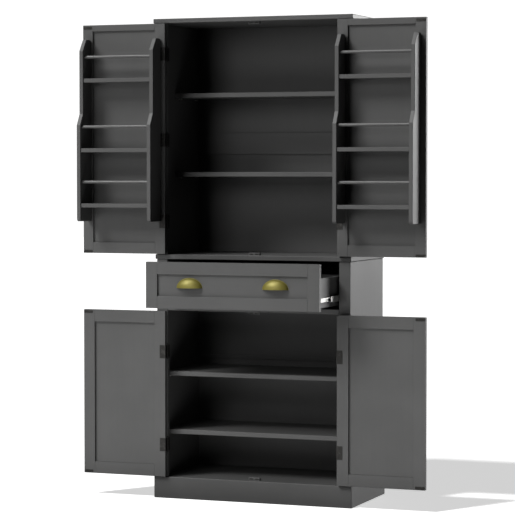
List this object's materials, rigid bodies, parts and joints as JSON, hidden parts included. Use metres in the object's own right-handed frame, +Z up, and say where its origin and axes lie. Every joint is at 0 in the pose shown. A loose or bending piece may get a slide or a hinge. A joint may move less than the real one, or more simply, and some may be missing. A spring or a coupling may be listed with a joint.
{
  "type": "pantry cabinet",
  "caption": "Tall two-part pantry cabinet: panelled doors with spice racks over a drawer and a shelved lower cupboard.",
  "frame": {"origin": "on the floor, on the cabinet's centre line, under the front face of the face frame", "axes": "+X to the cabinet's right as seen from the front, +Y to the rear, +Z up"},
  "size_m": [1.375, 0.6233, 1.83],
  "materials": {
    "charcoal_paint": "satin painted board",
    "hinge_steel": "dark plated steel",
    "zinc_steel": "zinc plated",
    "brass": "antique brushed brass",
    "catch_plastic": "matt"
  },
  "bodies": {
    "carcass": {"top_panel": "charcoal_paint", "middle_panel": "charcoal_paint", "base": "charcoal_paint", "drawer_deck": "charcoal_paint", "upper_left_side": "charcoal_paint", "upper_right_side": "charcoal_paint", "lower_left_side": "charcoal_paint", "lower_right_side": "charcoal_paint", "upper_back_panel": "charcoal_paint", "lower_back_panel": "charcoal_paint", "upper_shelf_1": "charcoal_paint", "upper_shelf_2": "charcoal_paint", "lower_shelf_1": "charcoal_paint", "lower_shelf_2": "charcoal_paint", "catch_upper_top": "catch_plastic", "catch_upper_bottom": "catch_plastic", "catch_lower_top": "catch_plastic", "catch_lower_bottom": "catch_plastic", "left_slide_rail": "zinc_steel", "right_slide_rail": "zinc_steel"},
    "upper_left_door": {"upper_left_door": "charcoal_paint", "upper_left_hinge_1": "hinge_steel", "upper_left_hinge_2": "hinge_steel", "upper_left_hinge_3": "hinge_steel", "upper_left_knob": "brass", "left_rack_hinge_side": "charcoal_paint", "left_rack_free_side": "charcoal_paint", "left_rack_shelf_1": "charcoal_paint", "left_rack_shelf_2": "charcoal_paint", "left_rack_shelf_3": "charcoal_paint", "left_rack_rod_1": "charcoal_paint", "left_rack_rod_2": "charcoal_paint", "left_rack_rod_3": "charcoal_paint"},
    "upper_right_door": {"upper_right_door": "charcoal_paint", "upper_right_hinge_1": "hinge_steel", "upper_right_hinge_2": "hinge_steel", "upper_right_hinge_3": "hinge_steel", "upper_right_knob": "brass", "right_rack_hinge_side": "charcoal_paint", "right_rack_free_side": "charcoal_paint", "right_rack_shelf_1": "charcoal_paint", "right_rack_shelf_2": "charcoal_paint", "right_rack_shelf_3": "charcoal_paint", "right_rack_rod_1": "charcoal_paint", "right_rack_rod_2": "charcoal_paint", "right_rack_rod_3": "charcoal_paint"},
    "lower_left_door": {"lower_left_door": "charcoal_paint", "lower_left_hinge_1": "hinge_steel", "lower_left_hinge_2": "hinge_steel", "lower_left_knob": "brass"},
    "lower_right_door": {"lower_right_door": "charcoal_paint", "lower_right_hinge_1": "hinge_steel", "lower_right_hinge_2": "hinge_steel", "lower_right_knob": "brass"},
    "drawer": {"drawer_front": "charcoal_paint", "drawer_box": "charcoal_paint", "left_cup_pull": "brass", "right_cup_pull": "brass"},
    "slide_members": {"left_slide_middle": "zinc_steel", "right_slide_middle": "zinc_steel"}
  },
  "joints": [
    {"name": "upper_left_door_hinge", "type": "hinge", "parent": "carcass", "child": "upper_left_door", "pos_m": [-0.3445, -0.0035, 0], "axis": [0, 0, 1], "range_deg": [0, 180]},
    {"name": "upper_right_door_hinge", "type": "hinge", "parent": "carcass", "child": "upper_right_door", "pos_m": [0.3445, -0.0035, 0], "axis": [0, 0, -1], "range_deg": [0, 180]},
    {"name": "lower_left_door_hinge", "type": "hinge", "parent": "carcass", "child": "lower_left_door", "pos_m": [-0.3445, -0.0035, 0], "axis": [0, 0, 1], "range_deg": [0, 180]},
    {"name": "lower_right_door_hinge", "type": "hinge", "parent": "carcass", "child": "lower_right_door", "pos_m": [0.3445, -0.0035, 0], "axis": [0, 0, -1], "range_deg": [0, 180]},
    {"name": "drawer_slide", "type": "slide", "parent": "carcass", "child": "drawer", "axis": [0, -1, 0], "range_m": [-0.212, 0.088]},
    {"name": "slide_member_slide", "type": "slide", "parent": "carcass", "child": "slide_members", "axis": [0, -1, 0], "range_m": [-0.106, 0.044]}
  ],
  "couplings": [
    {"joint": "slide_member_slide", "follows": "drawer_slide", "ratio": 0.5}
  ]
}
